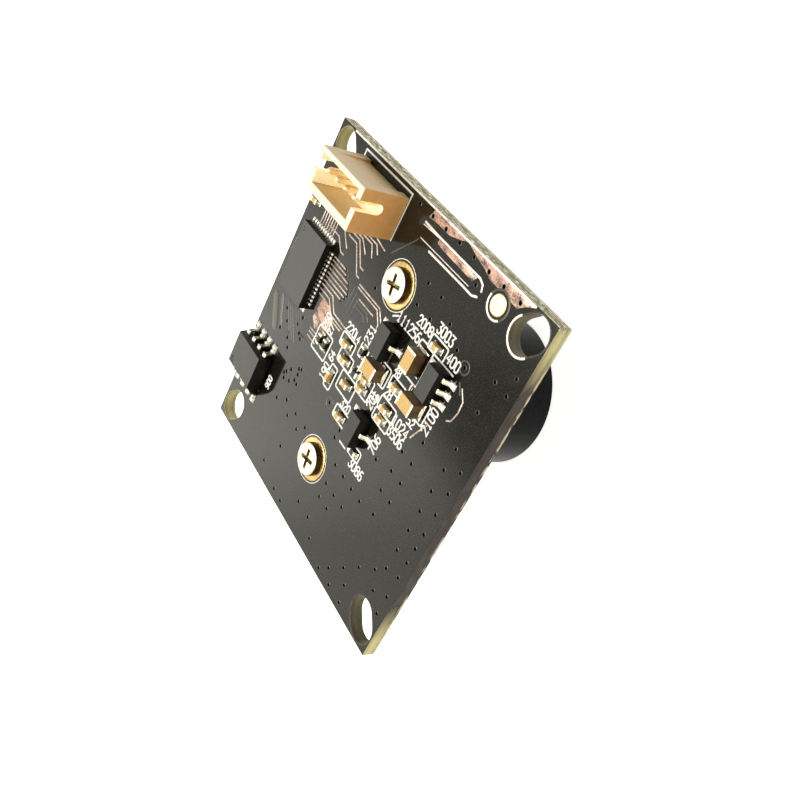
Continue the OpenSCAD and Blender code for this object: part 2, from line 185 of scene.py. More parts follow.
# thin mask over a fine track: copper showing through, and its pale colour is partly a painted highlight of
# the track's raised edges
def makeTrackMask(name, look):
    f = newFinish(name)
    speck = f.noise(0.09, 2)
    drift = f.noise(0.9, 2)
    base = f.mix(f.span(speck + drift * 0.6, 0.6, 1.0), look["shade"], look["shine"])
    metal = f.span(drift, 0.2, 0.5, 0.4, look["metal"])
    return f.surface(base, f.sheen(speck, look["gloss"]), f.bump(speck, look["waves"]),
                     {"IOR": look["ior"], "Metallic": metal})


# thick mask over a track or a ring: only its shape shows
def makeFaintMask():
    look = faintLook
    f = newFinish("maskOverRings")
    speck = f.noise(0.07, 1)
    base = f.mix(f.span(speck, 0.4, 0.8), look["shade"], look["speck"])
    return f.surface(base, f.sheen(speck, look["gloss"]), f.bump(speck, look["waves"]),
                     {"IOR": look["ior"]})


# mask over a wide copper area: a pinkish copper colour where the mask is thin, partly a painted highlight
# of the mask's glare
def makePour():
    look = pourLook
    f = newFinish("maskOverCopper")
    drift = f.noise(1.1, 3, (1, 2.2, 1))
    speck = f.noise(0.09, 2)
    thin = f.span(drift + speck * 0.5, 0.56, 0.84)
    base = f.mix(thin, look["shade"], look["copper"])
    skin = f.bump(speck + drift * 0.5, look["waves"])
    return f.surface(base, f.sheen(speck, look["gloss"], 0.8, 1.4), skin,
                     {"IOR": look["ior"], "Metallic": thin * look["metal"]})


# cut edge of glass-fibre laminate: soft layers drawn out along the edge
def makeLaminate(name, shadeAmount):
    look = laminateLook
    f = newFinish(name)
    x, y, z = f.axis("X"), f.axis("Y"), f.axis("Z")
    fibre = f.noise(1.2, 3, (1, 1, 4))
    chip = f.noise(0.25, 3)
    band = f.add("Math", {"operation": "SINE"}, {0: z * (2 * math.pi * look["layers"]) + fibre * 5})
    base = f.mix(f.span(band + chip, -0.6, 1.9), look["shade"], look["pale"])
    # the resin between the outer layers shows darker along the header's side
    atHeader = f.span(y, *look["headerEdge"])
    streak = f.noise(0.3, 2, (0.3, 0.6, 2.2))
    core = f.span(z, 0.28, 0.5) * f.span(z, 1.3, 0.8) * f.span(streak, 0.38, 0.56, 0.45, 1)
    base = f.mix(core * atHeader * 0.92, base, look["resin"])
    # khaki near the corners, and painted shade in dark brown further in along the edges and over the walls
    # of the far slots
    away = f.add("Math", {"operation": "ABSOLUTE"}, {0: y})
    burnt = f.span(away + fibre * 2, look["khaki"], look["burnt"], 0, 0.95)
    burnt = f.add("Math", {"operation": "MAXIMUM"}, {0: burnt, 1: shadeAmount})
    base = f.mix(f.span(chip * 0.12 + burnt, 0.15, 1.0), base, look["dark"])
    # short pale dashes, painted highlights where bare fibre ends would catch the light
    glint = f.span(f.noise(0.3, 1, (0.45, 0.6, 2.5)), 0.55, 0.6)
    base = f.mix(glint * atHeader, base, look["glint"])
    dash = f.span(f.noise(0.4, 1, (0.6, 0.4, 1.5)), 0.46, 0.54) * f.span(z, 0.3, 0.15)
    base = f.mix(dash * f.span(x, *look["farEdge"]), base, look["dash"])
    return f.surface(base, f.span(fibre, 0.3, 0.7, *look["gloss"]), f.bump(fibre + chip, look["waves"]),
                     {"IOR": look["ior"]})


def makeSilk():
    f = newFinish("silkInk")
    speck = f.noise(0.08, 2)
    base = f.mix(f.span(speck, 0.35, 0.65), "fbf8ee", "fffffa")
    return f.surface(base, 0.55, f.bump(speck, 0.004))


# plated and soldered metals share one recipe
def makeMetal(name, shade, worn, gloss, grain=0.12, depth=0.002, stretch=(1, 1, 1), metal=1.0):
    f = newFinish(name)
    drift = f.noise(grain * 4, 3, stretch)
    fine = f.noise(grain, 2, stretch)
    base = f.mix(f.span(drift, 0.35, 0.7), shade, worn)
    return f.surface(base, f.sheen(fine, gloss, 0.7, 1.4), f.bump(fine + drift, depth), {"Metallic": metal})


# moulded and fired bodies share another: a base, a speckle, a sheen and a fine grain
def makeBody(name, shade, speckle, gloss, grain=0.06, depth=0.004, ior=1.45, extra=None):
    f = newFinish(name)
    fine = f.noise(grain, 2)
    drift = f.noise(grain * 12, 3)
    base = f.mix(f.span(fine, 0.42, 0.75), shade, speckle)
    base = f.mix(f.span(drift, 0.35, 0.8, 0, 0.35), base, speckle)
    return f.surface(base, f.sheen(drift, gloss, 0.85, 1.15), f.bump(fine, depth),
                     {"IOR": ior, **(extra or {})})


headerLook = {"gloss": 0.42, "cloud": 0.5, "waves": 0.004, "ior": 1.5, "depth": 0.8, "through": 0.3,
              "reach": (1.0, 0.6, 0.25)}


# header plastic lets light through its thin walls; where a glow is given, emission paints that light in
def makeHeaderPlastic(name, shade, cloud, glow=0.0):
    look = headerLook
    light = {"Subsurface Weight": look["through"], "Subsurface Radius": look["reach"],
             "Subsurface Scale": look["depth"] * mm, "Emission Color": shade, "Emission Strength": glow}
    return makeBody(name, shade, cloud, look["gloss"], look["cloud"], look["waves"], look["ior"], light)


def makeGlass(name, shade, ior, gloss, coat=0.0):
    f = newFinish(name)
    dust = f.noise(0.6, 3)
    return f.surface(shade, f.span(dust, 0.4, 0.8, gloss, gloss + 0.05), f.bump(dust, 0.0005),
                     {"IOR": ior, "Transmission Weight": 1.0, "Coat Weight": coat})


mask = makeMask()
# pale pinkish tracks: copper under the mask, lightened by a painted highlight
trackMask = makeTrackMask("maskOverTracks", trackLook)
# near-white lines along edges: painted highlights
shineMask = makeTrackMask("maskEdgeHighlight", shineLook)
faintMask = makeFaintMask()
pour = makePour()
laminate = makeLaminate("cutLaminate", 0.0)
# the same laminate, darkened throughout by painted shade
shadedLaminate = makeLaminate("laminatePaintedShade", 0.8)
silk = makeSilk()
gold = makeMetal("goldPlate", "e6c588", "c39b58", 0.26, 0.3)
target = makeMetal("targetPlateHighlight", "fff1d8", "f0d9ae", 0.35, metal=0.3)
tin = makeMetal("brightTin", "f8f4e2", "e2dcc2", 0.34, 0.16, metal=0.75)
solder = makeMetal("solder", "fbf8e8", "e6e0c6", 0.3, 0.16, metal=0.7)
# dark copies of the screw metal for the head's wall and its cross recess: painted shade
headWallShade = makeMetal("screwWallShade", "5a4526", "33281a", 0.4, 0.2, 0.003, metal=0.8)
bead = makeMetal("solderBead", "fffdf4", "f3efdc", 0.32, 0.2, metal=0.35)
darkTin = makeMetal("shadedTin", "b3ad93", "6e6853", 0.36, 0.12, 0.004, metal=0.8)
capFlank = makeMetal("shadedCap", "80694a", "53432d", 0.4, 0.2, 0.003, metal=0.5)
nickel = makeMetal("screwNickel", "f8f3e4", "dacfae", 0.36, 0.1, 0.0012, metal=0.7)
recess = makeMetal("screwRecessShade", "8f7d50", "453a24", 0.35, 0.12, 0.004, metal=0.8)
contactMetal = makeMetal("contactPlate", "f8f0d4", "eadcb4", 0.3, 0.3, 0.0003, (1, 1, 0.2), metal=0.7)
lidMetal = makeMetal("crystalLid", "d6d6d2", "b9b9b4", 0.3, 0.12, 0.001, (0.2, 1, 1))
anodised = makeMetal("blackAnodised", "121213", "1c1c1c", 0.36, 0.08, 0.001, (0.6, 0.6, 3))
chipBlack = makeBody("chipMoulding", "1b1a16", "3a3830", 0.42, 0.06, 0.008, 1.55)
chipGrey = makeBody("controllerMoulding", "2c2a26", "3d3a34", 0.42, 0.05, 0.005, 1.58)
chipDull = makeBody("smallChipMoulding", "1b1a16", "35332c", 0.42, 0.06, 0.008, 1.43)
# near-black walls for the mouldings: painted shade
chipFlankShade = makeBody("chipFlankShade", "0b0b09", "181713", 0.55, 0.06, 0.006, 1.3)
tanCeramic = makeBody("capacitorCeramic", "d0a75e", "e0bb76", 0.38, 0.12)
# darker copy of the ceramic for the walls of the tall parts: painted shade
ceramicShade = makeBody("capacitorFlankShade", "694d2a", "7a5b34", 0.42, 0.12)
blackCeramic = makeBody("resistorGlaze", "1d1b18", "34302a", 0.25, 0.1, 0.003)
holderBlack = makeBody("holderMoulding", "0f0f0f", "1a1a1a", 0.5, 0.08, 0.01, 1.35)
carrierBlack = makeBody("sensorCarrier", "1a1a1c", "29292c", 0.5, 0.08)
silicon = makeBody("sensorDie", "26382f", "3b4f60", 0.12, 0.04, 0.0005, 2.2)
# black without reflection for the via floors: painted shade
viaShade = makeBody("viaHoleShade", "020202", "050504", 0.9, 0.08, 0.001, 1.0)
headerNylon = makeHeaderPlastic("headerNylon", "e9b26c", "ebbf80")
# copies of the header plastic with light painted in: a greyer side, a glowing keyway and floor, and a paler
# rim
headerSideSheen = makeHeaderPlastic("headerSideSheen", "d2b987", "dcc698")
headerKeyGlow = makeHeaderPlastic("headerKeywayGlow", "fff0c8", "fff6dc", 0.35)
headerRimHighlight = makeHeaderPlastic("headerRimHighlight", "fff2cf", "fff8e4")
lensGlass = makeGlass("coatedLens", "c9d4ea", 1.55, 0.0, 0.4)
filterGlass = makeGlass("filterGlass", "9fd6e0", 1.5, 0.01, 0.3)
coverGlass = makeGlass("coverGlass", "e9f4f2", 1.5, 0.01)
print("finishes made")


def putInScene(name, data):
    thing = bpy.data.objects.new(name, data)
    bpy.context.scene.collection.objects.link(thing)
    return thing


def asMesh(name, shape):
    mesh = bpy.data.meshes.new(name)
    shape.to_mesh(mesh)
    shape.free()
    return mesh


# a shape built in millimetres becomes a piece in metres that rides with the part
def addPiece(name, shape, finishes, stands=(), sharp=35, flats=False):
    bmesh.ops.scale(shape, vec=(mm, mm, mm), verts=shape.verts)
    mesh = asMesh(name, shape)
    for finish in finishes:
        mesh.materials.append(finish)
    mesh.shade_smooth()
    mesh.set_sharp_from_angle(angle=math.radians(sharp))
    piece = putInScene(name, mesh)
    if flats:      # wide faces stay flat, and only the eased edges roll
        piece.modifiers.new("flats", "WEIGHTED_NORMAL").keep_sharp = True
    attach(piece, "root")
    if stands:
        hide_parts(*stands)


def nodeBox(node):
    low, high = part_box(node)
    return low / mm, high / mm


# puts one shape into another; a finish given here goes all over it
def join(shape, part, finish=None):
    if finish is not None:
        for face in part.faces:
            face.material_index = finish
    mesh = asMesh("part", part)
    shape.from_mesh(mesh)
    bpy.data.meshes.remove(mesh)


# each face takes the finish that a rule picks for it
def paint(shape, pick):
    for face in shape.faces:
        face.normal_update()
        face.material_index = pick(face)


def ease(shape, edges, width, steps=2):
    return bmesh.ops.bevel(shape, geom=edges, offset=width, segments=steps, profile=0.5, affect="EDGES",
                           clamp_overlap=True)


nodeFit = {"weld": 0.0005, "flat": 0.5, "corner": 32}      # millimetres, degrees, degrees


# a copy of a CAD node with its edges eased; one outer rim may be rounded far more than the rest
def eased(node, width, onRim=None, rimWidth=0):
    fit = nodeFit
    shape = bmesh.new()
    shape.from_mesh(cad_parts[node].data)
    bmesh.ops.scale(shape, vec=(1 / mm,) * 3, verts=shape.verts)
    bmesh.ops.remove_doubles(shape, verts=shape.verts, dist=fit["weld"])
    flat, corner = math.radians(fit["flat"]), math.radians(fit["corner"])
    bmesh.ops.dissolve_limit(shape, angle_limit=flat, verts=shape.verts, edges=shape.edges)
    corners = [e for e in shape.edges if len(e.link_faces) == 2 and e.calc_face_angle() > corner]
    if onRim:
        wide = [e for e in corners if all(onRim(v.co) for v in e.verts)]
        corners = [e for e in corners if e not in wide]
        made = bmesh.ops.bevel(shape, geom=wide, offset=rimWidth, segments=5, profile=0.5, affect="EDGES")
        corners = [e for e in corners if e.is_valid and e not in made["edges"]]
    ease(shape, corners, width)
    return shape


def block(low, high, width, steps=2):
    shape = bmesh.new()
    bmesh.ops.create_cube(shape, size=1)
    bmesh.ops.scale(shape, vec=high - low, verts=shape.verts)
    bmesh.ops.translate(shape, vec=(high + low) / 2, verts=shape.verts)
    ease(shape, shape.edges[:], width, steps)
    return shape


# a face that looks upwards
def addFace(shape, corners, finish):
    face = shape.faces.new(corners)
    face.material_index = finish
    face.normal_update()
    if face.normal.z < 0:
        face.normal_flip()


# faces between neighbouring rows of points, where points that meet count once
def skin(shape, rows, finish):
    for a, b in zip(rows, rows[1:]):
        for k in range(len(a) - 1):
            corners = list(dict.fromkeys((a[k], a[k + 1], b[k + 1], b[k])))
            if len(corners) > 2:
                addFace(shape, corners, finish)


ridgeProfile = [(1, 0), (0.82, 0.5), (0.55, 0.92), (0.3, 1)]     # half of a line's section: reach, height


# a raised line along a path: a flat top, flanks that roll down to the board, and round ends
def ridge(shape, path, width, low, high, finish=0, closed=False):
    points = [Vector(p) for p in path]
    rows = []
    for i, point in enumerate(points):
        arms = []
        if i > 0 or closed:
            arms.append((point - points[i - 1]).normalized())
        if i < len(points) - 1 or closed:
            arms.append((points[(i + 1) % len(points)] - point).normalized())
        along = sum(arms, Vector((0, 0))).normalized()
        side = Vector((-along.y, along.x))
        reach = width / 2 / max(0.6, side.dot(Vector((-arms[0].y, arms[0].x))))
        row = []
        for u, v in [(-u, v) for u, v in ridgeProfile] + ridgeProfile[::-1]:
            row.append(shape.verts.new((*(point + side * u * reach), low + (high - low) * v)))
        rows.append(row)
    skin(shape, rows + rows[:1] if closed else rows, finish)
    if not closed:
        roundEnd(shape, points[0], points[0] - points[1], rows[0], width, low, high, finish)
        roundEnd(shape, points[-1], points[-1] - points[-2], rows[-1][::-1], width, low, high, finish)


# half a turn of the line's section about its last point
def roundEnd(shape, point, outward, row, width, low, high, finish, steps=5):
    outward = outward.normalized()
    start = (row[0].co - row[-1].co).to_2d().normalized()
    arcs = []
    for k, (u, v) in enumerate(ridgeProfile):
        arc = [row[k]]
        for i in range(1, steps):
            t = math.pi * i / steps
            spot = point + (start * math.cos(t) + outward * math.sin(t)) * u * width / 2
            arc.append(shape.verts.new((*spot, low + (high - low) * v)))
        arcs.append(arc + [row[-1 - k]])
    skin(shape, arcs, finish)
    addFace(shape, arcs[-1], finish)


def circle(x, y, r, count=32):
    turns = [2 * math.pi * i / count for i in range(count)]
    return [(x + r * math.cos(a), y + r * math.sin(a)) for a in turns]


# the point (u, v) turned about the origin, then moved to (x, y)
def spun(x, y, u, v, angle):
    return x + u * math.cos(angle) - v * math.sin(angle), y + u * math.sin(angle) + v * math.cos(angle)


# a box outline with round corners
def roundBox(left, right, bottom, top, r, steps=3):
    corners = [(right - r, top - r, 0), (left + r, top - r, 90), (left + r, bottom + r, 180),
               (right - r, bottom + r, 270)]
    path = []
    for x, y, turn in corners:
        for i in range(steps + 1):
            a = math.radians(turn + 90 * i / steps)
            path.append((x + r * math.cos(a), y + r * math.sin(a)))
    return path


# a section of (radius, height) pairs turned about an upright axis
def turned(shape, x, y, section, finish=0, count=28):
    rows = []
    for r, z in section:
        if r == 0:
            row = [shape.verts.new((x, y, z))] * count
        else:
            row = [shape.verts.new((*p, z)) for p in circle(x, y, r, count)]
        rows.append(row + row[:1])
    skin(shape, rows, finish)


# a soft heap over a rectangle: a bead of solder, with its own small unevenness
def heap(shape, x, y, width, length, height, low, steps=8, power=0.55):
    lean = random.uniform(-0.15, 0.15), random.uniform(-0.15, 0.15)
    swell = random.uniform(0.85, 1.15)
    grid = []
    for i in range(steps + 1):
        u = -math.cos(math.pi * i / steps)
        row = []
        for j in range(steps + 1):
            v = -math.cos(math.pi * j / steps)
            rise = max(0, (1 - u * u) * (1 - v * v)) ** power * (1 + lean[0] * u + lean[1] * v) * swell
            row.append(shape.verts.new((x + u * width / 2, y + v * length / 2, low + height * rise)))
        grid.append(row)
    skin(shape, grid, 1)


# a fillet that climbs from its pad to the end of a chip part; away is the direction away from the part
def fillet(shape, x, y, away, width, run, rise, low, steps=6):
    away = Vector(away)
    side = Vector((-away.y, away.x))
    grid = []
    for i in range(steps + 1):
        u = i / steps
        row = []
        for j in range(steps + 1):
            v = -math.cos(math.pi * j / steps)
            spread = width / 2 * (1 + 0.12 * u)
            spot = Vector((x, y)) + away * run * u + side * v * spread
            row.append(shape.verts.new((*spot, low + 0.02 + rise * (1 - u) ** 1.9 * (1 - abs(v) ** 3))))
        grid.append(row)
    skin(shape, grid, 0)


# a plate with holes, cut from flat outlines and eased along its edges
def plate(outlines, low, high, edge):
    curve = bpy.data.curves.new("plate", "CURVE")
    curve.dimensions = "2D"
    curve.fill_mode = "BOTH"
    curve.extrude = (high - low) / 2 - edge
    curve.bevel_depth = edge
    curve.bevel_resolution = 1
    curve.offset = -edge
    for outline in outlines:
        spline = curve.splines.new("POLY")
        spline.points.add(len(outline) - 1)
        for point, (x, y) in zip(spline.points, outline):
            point.co = (x, y, 0, 1)
        spline.use_cyclic_u = True
    holder = putInScene("plate", curve)
    bpy.context.view_layer.update()
    mesh = bpy.data.meshes.new_from_object(holder.evaluated_get(bpy.context.evaluated_depsgraph_get()))
    shape = bmesh.new()
    shape.from_mesh(mesh)
    bpy.data.objects.remove(holder)
    bpy.data.curves.remove(curve)
    bpy.data.meshes.remove(mesh)
    bmesh.ops.remove_doubles(shape, verts=shape.verts, dist=0.0002)
    bmesh.ops.translate(shape, vec=(0, 0, (low + high) / 2), verts=shape.verts)
    return shape


# the board
boardFit = {"slots": (-14, 14), "slotWidth": 2.8, "slotLength": 3.8, "screws": (-9, 9), "screwHole": 1.0,
            "pins": (-9.4, -7.9, -6.4, -4.9), "pinRow": 13.4, "pinHole": 0.45, "target": (10.25, 13.95),
            "edge": 0.035, "overlap": 0.002}


# a slot's outline, long way towards the board's corner; grow widens it all round
def slotOutline(x, y, grow=0.0, steps=16):
    turn = math.atan2(y, x)
    r = boardFit["slotWidth"] / 2
    run = boardFit["slotLength"] / 2 - r
    path = []
    for end in (1, -1):
        for i in range(steps + 1):
            a = math.pi * (i / steps - 0.5) + (0 if end > 0 else math.pi)
            path.append(spun(x, y, end * run + (r + grow) * math.cos(a), (r + grow) * math.sin(a), turn))
    return path


# the walls of the two slots away from the header take the laminate with more painted shade
def boardFinish(face):
    if abs(face.normal.z) > 0.95:
        return 0
    spot = face.calc_center_median()
    inPaintedShade = 12 < spot.x < 15.9 and abs(spot.y) < 15.9      # walls of the two slots away from the header
    return 2 if inPaintedShade else 1


def makeBoard():
    fit = boardFit
    low, high = nodeBox("circuit_board")
    outlines = [[(low.x, low.y), (high.x, low.y), (high.x, high.y), (low.x, high.y)]]
    outlines += [slotOutline(x, y) for x in fit["slots"] for y in fit["slots"]]
    outlines += [circle(0, y, fit["screwHole"], 40) for y in fit["screws"]]
    outlines += [circle(x, fit["pinRow"], fit["pinHole"]) for x in fit["pins"]]
    shape = plate(outlines, low.z, high.z, fit["edge"])
    paint(shape, boardFinish)
    finishes = [mask, laminate, shadedLaminate]
    addPiece("boardBlank", shape, finishes, ["circuit_board"], sharp=12)


makeBoard()
print("board made")


# tracks under the mask, as lines of points on the chip side
trackFit = {"width": 0.15, "rise": 0.03, "glintRise": 0.04, "wideRise": 0.02}
fanOut = [(-7.0, 6.15), (-6.6, 5.8), (-5.9, 5.4), (-5.6, 5.0), (-5.4, 4.6), (-5.6, 4.2), (-5.9, 3.8)]
tracks = [[(-9.05, y), (x, y)] for x, y in fanOut]
tracks += [
    [(-9.05, 3.4), (-7.0, 3.4), (-5.9, 2.4), (-3.6, 2.35)],
    [(-9.05, 2.95), (-7.3, 2.95), (-6.2, 2.0), (-4.0, 2.0)],
    [(-8.9, 2.5), (-7.8, 2.5), (-6.9, 1.7), (-4.2, 1.72)],
    [(-11.5, 7.8), (-9.7, 7.8), (-8.6, 6.9), (-8.1, 6.9)],
    [(-9.2, 8.5), (-8.1, 7.6)],
    [(-8.5, 8.65), (-7.1, 8.65), (-5.3, 6.6), (-4.9, 6.6)],
    [(-9.3, 9.1), (-6.9, 9.1), (-5.3, 7.4), (-4.8, 7.4)],
    [(-8.3, 9.4), (-6.6, 9.4), (-5.5, 8.6)],
    [(-7.8, 9.7), (-5.2, 9.7), (-4.5, 8.8)],
    [(-7.0, 10.0), (-4.6, 10.0), (-4.0, 9.4)],
    [(-4.9, 10.4), (-3.4, 10.15)],
    [(-4.4, 6.28), (-0.8, 6.28), (0.25, 5.3), (0.25, 4.3)],
    [(-4.4, 5.98), (-1.0, 5.98), (-0.1, 5.1), (-0.1, 4.4)],
    [(-3.6, 5.3), (-1.2, 5.3)],
    [(11.2, 7.3), (11.9, 6.6), (12.0, 5.7), (11.8, 4.8), (11.4, 4.5)],
    [(9.0, 0.9), (9.4, 1.8), (9.9, 2.8)],
]
tracks += [[(-8.0, y), (-6.6, y)] for y in (-0.55, -0.88, -1.3)]
tracks += [[(x, 7.3), (x, 8.7)] for x in (-13.0, -12.6, -12.2, -11.8, -11.4, -11.0, -10.6)]

# edges of copper areas and the board's rolled edge, drawn as raised lines in a near-white painted highlight
# that stands out more than tracks do: path and width
edges = [
    ([(-13.6, 15.84), (2.0, 15.84)], 0.2),
    ([(1.6, 15.84), (13.3, 15.84)], 0.22),
    ([(-0.55, 14.26), (1.7, 14.36)], 0.1),
    ([(-0.5, 14.5), (1.7, 14.42), (7.5, 14.42), (8.0, 14.2), (8.2, 13.75)], 0.2),
    ([(-0.2, 13.27), (6.8, 13.32)], 0.09),
    ([(1.35, 12.95), (6.2, 13.0), (7.5, 12.98), (8.05, 13.2)], 0.2),
]
faintTracks = [
    [(-4.8, 3.4), (-4.8, 5.7)],
    [(-4.3, 3.4), (-4.3, 5.5)],
    [(-3.75, 3.6), (-3.75, 5.4)],
    circle(10.4, 8.6, 0.52) + [(10.92, 8.6)],
    circle(-1.2, -3.7, 0.5) + [(-0.7, -3.7)],
    [(10.7, 7.5), (11.3, 6.8)],
    [(-2.5, 10.5), (-0.4, 13.0)],
    [(-3.9, 5.0), (-1.9, 5.0), (-1.4, 4.5)],
    [(-3.9, 4.6), (-2.3, 4.6), (-1.9, 4.2)],
]
faintTracks += [[(x, -0.6), (x + 2.6, -3.2)] for x in (-12.9, -12.4, -11.9)]
faintTracks += [[(x, -0.5), (x + 1.4, -1.9), (x + 2.4, -1.9)] for x in (-11.2, -10.7, -10.2)]
wideFaint = [      # broad faint stripes between the two big chips: path and width
    ([(-14.8, -1.5), (-13.1, -3.8)], 1.0),
    ([(-13.9, -0.9), (-12.3, -3.2)], 0.3),
]

ringFit = {"slotGrow": 0.1, "slot": 0.08, "screwRadius": 2.12, "screw": 0.09, "targetRadius": 1.12,
           "target": 0.2, "glint": 0.2, "slotGlint": slice(17, 34), "targetGlint": slice(22, 42)}


def makeTracks():
    fit = trackFit
    ring = ringFit
    low, high = chipSide - boardFit["overlap"], chipSide + fit["rise"]
    plain, faint, shiny = 0, 1, 2
    shape = bmesh.new()
    for path in tracks:
        ridge(shape, path, fit["width"], low, high, plain)
    for path, width in edges:
        ridge(shape, path, width, low, high, shiny)
    # two of the rings get a painted highlight: a bright arc on one side only
    corner = boardFit["slots"][1]
    cornerRing = slotOutline(corner, corner, ring["slotGrow"])
    targetRing = circle(*boardFit["target"], ring["targetRadius"], 48)
    for path in (cornerRing[ring["slotGlint"]], targetRing[ring["targetGlint"]]):
        ridge(shape, path, ring["glint"], low, chipSide + fit["glintRise"], shiny)
    for path in faintTracks:
        ridge(shape, path, fit["width"], low, high, faint)
    for path, width in wideFaint:
        ridge(shape, path, width, low, chipSide + fit["wideRise"], faint)
    for x in boardFit["slots"]:
        for y in boardFit["slots"]:
            ridge(shape, slotOutline(x, y, ring["slotGrow"]), ring["slot"], low, high, faint, closed=True)
    # the rings round the screws are drawn in the same near-white painted highlight
    for y in boardFit["screws"]:
        ridge(shape, circle(0, y, ring["screwRadius"], 56), ring["screw"], low, high, shiny, closed=True)
    ridge(shape, targetRing, ring["target"], low, high, faint, closed=True)
    addPiece("copperTracks", shape, [trackMask, faintMask, shineMask], sharp=60)


# wide copper areas that show through the mask, as outlines
pourFit = {"sink": 0.01, "rise": 0.008, "edge": 0.005}
pours = [
    [(-0.4, 15.0), (1.0, 15.08), (2.6, 15.08), (3.9, 15.45), (4.5, 15.72), (-0.1, 15.74)],
    [(5.0, 15.72), (6.6, 15.3), (7.4, 15.2), (8.4, 14.85), (9.4, 14.85), (10.3, 15.15), (11.2, 14.8),
     (11.9, 14.75), (12.5, 15.3), (13.3, 15.74)],
    [(1.8, 13.95), (2.6, 13.85), (6.9, 13.8), (7.2, 14.3), (1.8, 14.3)],
    [(-8.1, 2.6), (-6.6, 2.4), (-5.7, 1.9), (-5.2, 0.9), (-6.3, 0.2), (-7.5, -0.3), (-8.4, 0.4)],
    [(4.5, 4.4), (5.0, 4.4), (5.0, 5.1), (4.5, 5.1)],
    [(1.3, 4.5), (3.0, 4.5), (3.0, 3.6), (1.3, 3.6)],
]


def makePours():
    fit = pourFit
    shape = bmesh.new()
    for outline in pours:
        join(shape, plate([outline], chipSide - fit["sink"], chipSide + fit["rise"], fit["edge"]), 0)
    addPiece("copperAreas", shape, [pour], sharp=50)


makeTracks()
makePours()
print("tracks made")


# vias: columns by x, rows by y, one by the end of each fanned track, and single ones
viaFit = {"radius": 0.22, "hole": 0.15, "rise": 0.018, "holder": 10.5, "crystal": (-11.2, -9),
          "clear": (2.2, 3.6)}
viaColumns = {
    15.05: (11.1, 9.6, 2.6, 0.6, -1.5, -3.5, -5.0, -6.5, -8.1, -10.2, -12.1),
    13.55: (9.7, 7.0, 3.6, 1.6, -0.5, -2.5, -4.5, -6.6, -8.6, -11.1),
    10.45: (1.6, -0.5, -2.5, -4.5),
    9.0: (-0.5, -2.5, -4.5),
}
viaRows = {
    15.25: (-2.0, 0.0, 1.95, 3.95, 5.95, 7.95, 9.9, 11.95), -7.1: (3.0, 4.5, 6.0, 7.5), -10.7: (3.0, 4.5),
    -9.15: (3.0, 4.5, 6.0), -15.25: (7.0, 9.0, 11.0), -7.7: (-6.7, -4.7, -2.7), -8.7: (-5.7, -3.7),
}
vias = [(x, y) for x, column in viaColumns.items() for y in column]
vias += [(x, y) for y, row in viaRows.items() for x in row]
vias += [(x + 0.1, y) for x, y in fanOut]
vias += [
    (9.55, -6.6), (12.6, -9.7), (11.0, -11.1), (9.55, -12.65), (10.55, -13.65), (8.05, -14.2), (4.3, -14.4),
    (0.9, -13.2), (2.9, -13.2), (1.5, -4.55), (1.35, -5.45), (6.9, -3.1), (2.95, 11.1), (4.9, 11.1),
    (7.0, 10.1), (2.9, 9.1), (4.9, 9.1), (8.9, 9.1), (-2.4, 7.2), (7.4, 13.8), (-8.2, -8.6), (-4.7, -11.5),
    (-6.0, -14.3), (-2.9, -15.1), (-1.4, -15.2), (-7.0, -4.4), (-6.8, -4.9), (-6.9, -5.6), (-7.6, -6.2),
    (-8.5, -5.8), (-8.5, -6.5), (-9.9, -4.1), (-10.5, -3.4), (-9.2, -2.0), (-1.2, -3.7), (10.4, 8.6),
    (-12.4, -1.4), (-11.6, -2.3), (-10.6, -2.9), (-9.6, -0.6), (-9.9, -1.5), (-8.7, -2.3), (-12.2, -3.4),
    (-8.8, -6.1), (-8.0, -5.2), (-6.6, -4.2), (-6.4, -5.7),
]


# on the lens side, vias keep clear of the holder and the crystal
def coveredUnderneath(x, y):
    fit = viaFit
    across, up = abs(x - fit["crystal"][0]), abs(y - fit["crystal"][1])
    return math.hypot(x, y) < fit["holder"] or across < fit["clear"][0] and up < fit["clear"][1]


def makeVias():
    fit = viaFit
    r, hole, rise = fit["radius"], fit["hole"], fit["rise"]
    shape = bmesh.new()
    for side, z in ((1, chipSide), (-1, -lensSide)):      # the lens side is built upside down
        rim = [(r, z - boardFit["overlap"]), (r * 0.9, z + rise * 0.6), (r * 0.72, z + rise),
               (hole * 1.15, z + rise * 0.95), (hole, z + rise * 0.8)]
        # each via's floor is a shallow black dish: painted shade standing for the depth of the hole
        floor = [rim[-1], (0, z + rise * 0.6)]
        half = bmesh.new()
        for x, y in vias:
            if side > 0 or not coveredUnderneath(x, y):
                turned(half, x, y * side, rim, 0, 18)
                turned(half, x, y * side, floor, 1, 18)
        if side < 0:
            half.transform(Matrix.Rotation(math.pi, 4, "X"))
        join(shape, half)
    addPiece("vias", shape, [mask, viaShade], sharp=60)


makeVias()
print("vias made")


